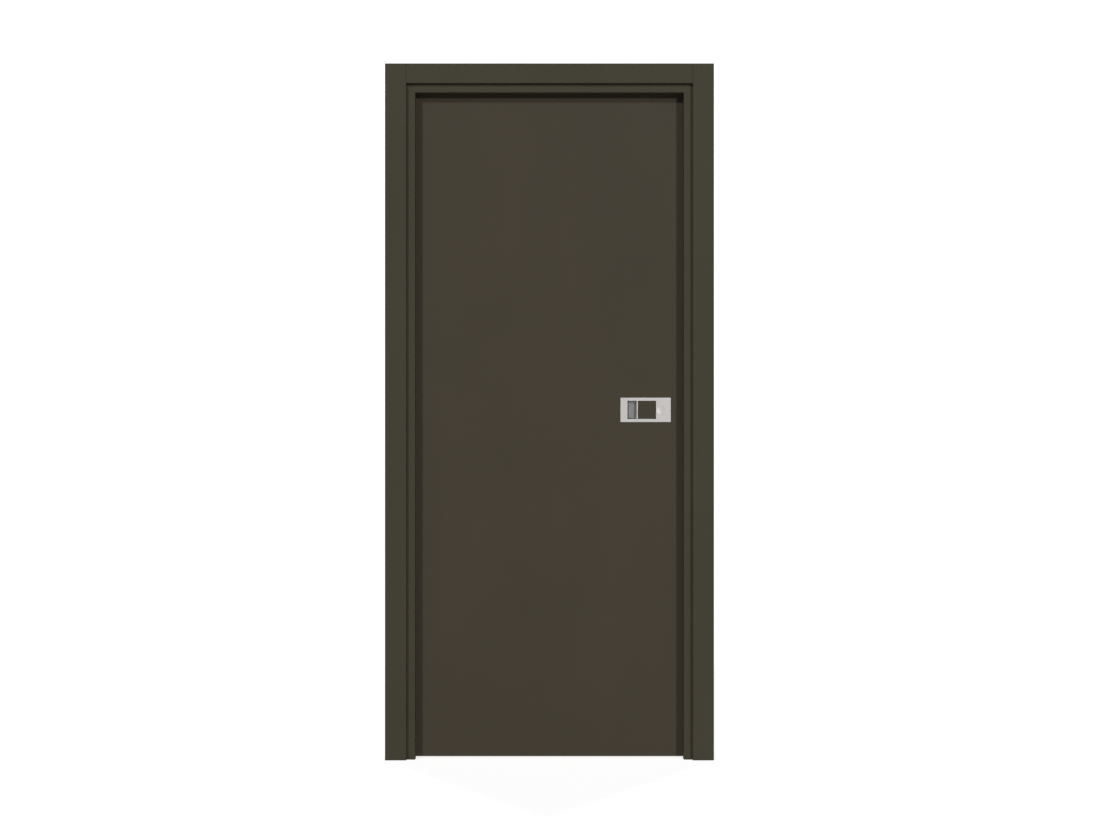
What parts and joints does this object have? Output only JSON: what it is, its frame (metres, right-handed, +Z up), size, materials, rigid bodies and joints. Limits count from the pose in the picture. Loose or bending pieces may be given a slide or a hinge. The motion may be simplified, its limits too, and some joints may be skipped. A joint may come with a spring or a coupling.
{
  "type": "flush door set",
  "caption": "Flush lacquered door leaf hung in a rebated frame with flat casings, opened by a recessed pull handle on each face that draws back a spring latch.",
  "frame": {"origin": "on the floor, midway between the jambs and midway between the front and back casing faces", "axes": "+X to the lock side, +Y to the side the leaf opens to, +Z up"},
  "size_m": [0.986, 0.099, 2.088],
  "materials": {
    "lacquer": "matt dark olive-brown lacquer on fibreboard",
    "bare_board": "bare softwood and chipboard inside the leaf",
    "satin_chrome": "satin chrome plate on zinc casting",
    "steel": "satin zinc-plated steel",
    "seal_rubber": "matt dark brown rubber",
    "black_plastic": "matt black moulded plastic"
  },
  "bodies": {
    "frame": {"hinge_jamb": "lacquer", "lock_jamb": "lacquer", "head_jamb": "lacquer", "front_hinge_casing": "lacquer", "front_lock_casing": "lacquer", "front_head_casing": "lacquer", "back_hinge_casing": "lacquer", "back_lock_casing": "lacquer", "back_head_casing": "lacquer", "hinge_seal": "seal_rubber", "lock_seal": "seal_rubber", "head_seal": "seal_rubber", "frame_corner_screws": "steel", "strike_plate": "steel", "strike_box": "black_plastic", "strike_screws": "steel", "lower_hinge_frame_wing": "steel", "middle_hinge_frame_wing": "steel", "upper_hinge_frame_wing": "steel", "lower_hinge_pin": "steel", "middle_hinge_pin": "steel", "upper_hinge_pin": "steel", "hinge_frame_screws": "steel"},
    "leaf": {"leaf_front_skin": "lacquer", "leaf_back_skin": "lacquer", "leaf_hinge_stile": "bare_board", "leaf_lock_stile": "bare_board", "leaf_top_rail": "bare_board", "leaf_bottom_rail": "bare_board", "leaf_lock_block": "bare_board", "leaf_core": "bare_board", "leaf_hinge_lipping": "lacquer", "leaf_lock_lipping": "lacquer", "leaf_top_lipping": "lacquer", "lower_hinge_leaf_wing": "steel", "middle_hinge_leaf_wing": "steel", "upper_hinge_leaf_wing": "steel", "hinge_leaf_screws": "steel", "lock_case": "steel", "lock_cover": "steel", "lock_forend": "steel", "lock_screws": "steel", "latch_spring": "steel", "front_handle_plate": "satin_chrome", "front_handle_cup": "satin_chrome", "front_paddle_pin": "steel", "back_handle_plate": "satin_chrome", "back_handle_cup": "satin_chrome", "back_paddle_pin": "steel", "handle_screws": "steel"},
    "front_paddle": {"front_paddle": "satin_chrome", "front_paddle_inlay": "lacquer"},
    "back_paddle": {"back_paddle": "satin_chrome", "back_paddle_inlay": "lacquer"},
    "latch": {"latch_bolt": "steel", "latch_slider": "steel"}
  },
  "joints": [
    {"name": "door_swing", "type": "hinge", "parent": "frame", "child": "leaf", "pos_m": [-0.4165, 0.0435, 1.009], "axis": [0, 0, 1], "range_deg": [0, 110]},
    {"name": "front_paddle_pull", "type": "hinge", "parent": "leaf", "child": "front_paddle", "pos_m": [0.317, 0.0005, 1.05], "axis": [0, 0, 1], "range_deg": [0, 36], "stiffness_Nm_per_rad": 0.6},
    {"name": "back_paddle_pull", "type": "hinge", "parent": "leaf", "child": "back_paddle", "pos_m": [0.317, 0.0345, 1.05], "axis": [0, 0, -1], "range_deg": [0, 36]},
    {"name": "latch_slide", "type": "slide", "parent": "leaf", "child": "latch", "axis": [-1, 0, 0], "range_m": [0, 0.01], "deforming": ["latch_spring"]}
  ],
  "couplings": [
    {"joint": "back_paddle_pull", "follows": "front_paddle_pull", "ratio": 1},
    {"joint": "latch_slide", "follows": "front_paddle_pull", "m_per_rad": 0.0159}
  ]
}
